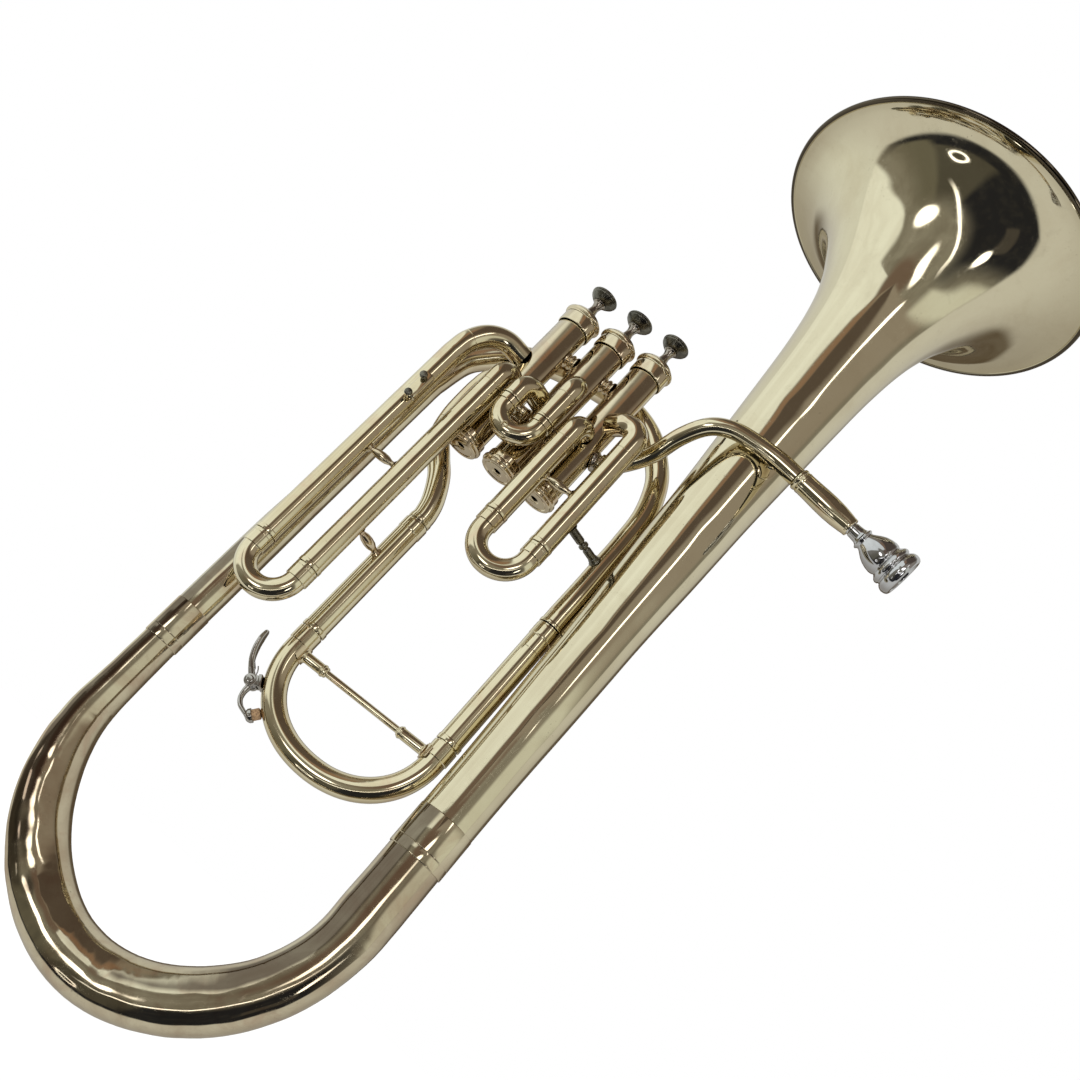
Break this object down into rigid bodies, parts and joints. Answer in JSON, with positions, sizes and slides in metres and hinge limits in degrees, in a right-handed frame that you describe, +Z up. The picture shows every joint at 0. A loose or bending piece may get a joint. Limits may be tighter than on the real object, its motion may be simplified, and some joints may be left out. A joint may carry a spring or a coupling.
{
  "type": "alto horn",
  "caption": "Upright-bell alto horn in worn lacquered brass with piston valves, valve slides, a wide main tuning slide with a water key, and a silver mouthpiece.",
  "frame": {"origin": "centre of the bounding box at the lowest point of the bottom bow", "axes": "+Z up towards the bell mouth along the bell's axis, +X from the bow branch and valves towards the bell and mouthpiece, -Y towards the side that carries the valve slides"},
  "size_m": [0.2892, 0.204, 0.6257],
  "materials": {
    "lacquered_brass": "polished, lacquer worn",
    "silver_plate": "polished silver plate",
    "tarnished_nickel": "tarnished satin",
    "spring_steel": "satin",
    "piston_metal": "lapped",
    "cork": "matte"
  },
  "bodies": {
    "horn": {"bell": "lacquered_brass", "bell_bow_ferrule": "lacquered_brass", "bottom_bow": "lacquered_brass", "bow_branch_ferrule": "lacquered_brass", "main_branch_tube": "lacquered_brass", "return_tube": "lacquered_brass", "tuning_tube_right": "lacquered_brass", "tuning_tube_left": "lacquered_brass", "tuning_feed_tube": "lacquered_brass", "leadpipe": "lacquered_brass", "mouthpiece_receiver": "lacquered_brass", "leadpipe_saddle": "lacquered_brass", "knuckle_1_2": "lacquered_brass", "knuckle_2_3": "lacquered_brass", "slide_1_tube_left": "lacquered_brass", "slide_1_tube_right": "lacquered_brass", "slide_2_tube_left": "lacquered_brass", "slide_2_tube_right": "lacquered_brass", "slide_3_tube_left": "lacquered_brass", "slide_3_tube_right": "lacquered_brass", "slide_1_cross_brace": "lacquered_brass", "slide_3_cross_brace": "lacquered_brass", "slide_1_return_brace": "lacquered_brass", "slide_3_tuning_brace": "lacquered_brass", "lyre_socket": "lacquered_brass", "valve_casing_1": "lacquered_brass", "valve_casing_2": "lacquered_brass", "valve_casing_3": "lacquered_brass", "top_cap_1": "lacquered_brass", "top_cap_2": "lacquered_brass", "top_cap_3": "lacquered_brass", "bottom_cap_1": "lacquered_brass", "bottom_cap_2": "lacquered_brass", "bottom_cap_3": "lacquered_brass", "valve_spring_1": "spring_steel", "valve_spring_2": "spring_steel", "valve_spring_3": "spring_steel"},
    "valve_1": {"piston_1": "piston_metal", "valve_stem_1": "tarnished_nickel", "finger_button_1": "tarnished_nickel"},
    "valve_2": {"piston_2": "piston_metal", "valve_stem_2": "tarnished_nickel", "finger_button_2": "tarnished_nickel"},
    "valve_3": {"piston_3": "piston_metal", "valve_stem_3": "tarnished_nickel", "finger_button_3": "tarnished_nickel"},
    "slide_1": {"slide_1_bow": "lacquered_brass"},
    "slide_2": {"slide_2_bow": "lacquered_brass", "slide_2_pull_knob": "lacquered_brass"},
    "slide_3": {"slide_3_bow": "lacquered_brass"},
    "tuning_slide": {"tuning_slide_bow": "lacquered_brass", "tuning_bow_rod": "lacquered_brass", "water_key_saddle": "silver_plate", "water_key_pin": "silver_plate"},
    "water_key": {"water_key_lever": "silver_plate", "water_key_cork": "cork", "water_key_spring": "spring_steel"},
    "mouthpiece": {"mouthpiece": "silver_plate"},
    "lyre_thumb_screw": {"lyre_screw": "tarnished_nickel"}
  },
  "joints": [
    {"name": "valve_1_press", "type": "slide", "parent": "horn", "child": "valve_1", "axis": [0, 0, -1], "range_m": [0, 0.013], "stiffness_N_per_m": 60, "springref_m": -0.02, "deforming": ["valve_spring_1"]},
    {"name": "valve_2_press", "type": "slide", "parent": "horn", "child": "valve_2", "axis": [0, 0, -1], "range_m": [0, 0.013], "stiffness_N_per_m": 60, "springref_m": -0.02, "deforming": ["valve_spring_2"]},
    {"name": "valve_3_press", "type": "slide", "parent": "horn", "child": "valve_3", "axis": [0, 0, -1], "range_m": [0, 0.013], "stiffness_N_per_m": 60, "springref_m": -0.02, "deforming": ["valve_spring_3"]},
    {"name": "slide_1_pull", "type": "slide", "parent": "horn", "child": "slide_1", "axis": [0, 0, -1], "range_m": [0, 0.03]},
    {"name": "slide_2_pull", "type": "slide", "parent": "horn", "child": "slide_2", "axis": [0, 0, -1], "range_m": [0, 0.005]},
    {"name": "slide_3_pull", "type": "slide", "parent": "horn", "child": "slide_3", "axis": [0, 0, -1], "range_m": [0, 0.05]},
    {"name": "tuning_slide_pull", "type": "slide", "parent": "horn", "child": "tuning_slide", "axis": [0, 0, -1], "range_m": [0, 0.05]},
    {"name": "water_key_pivot", "type": "hinge", "parent": "tuning_slide", "child": "water_key", "pos_m": [-0.0836, 0.00587, 0.15764], "axis": [0, 1, 0], "range_deg": [0, 12], "stiffness_Nm_per_rad": 0.05, "springref_deg": -20.05},
    {"name": "mouthpiece_pull", "type": "slide", "parent": "horn", "child": "mouthpiece", "axis": [0.9839, 0, -0.179], "range_m": [0, 0.024]},
    {"name": "lyre_screw_turn", "type": "hinge", "parent": "horn", "child": "lyre_thumb_screw", "pos_m": [-0.12102, -0.0296, 0.33434], "axis": [0, -1, 0], "continuous": true}
  ]
}
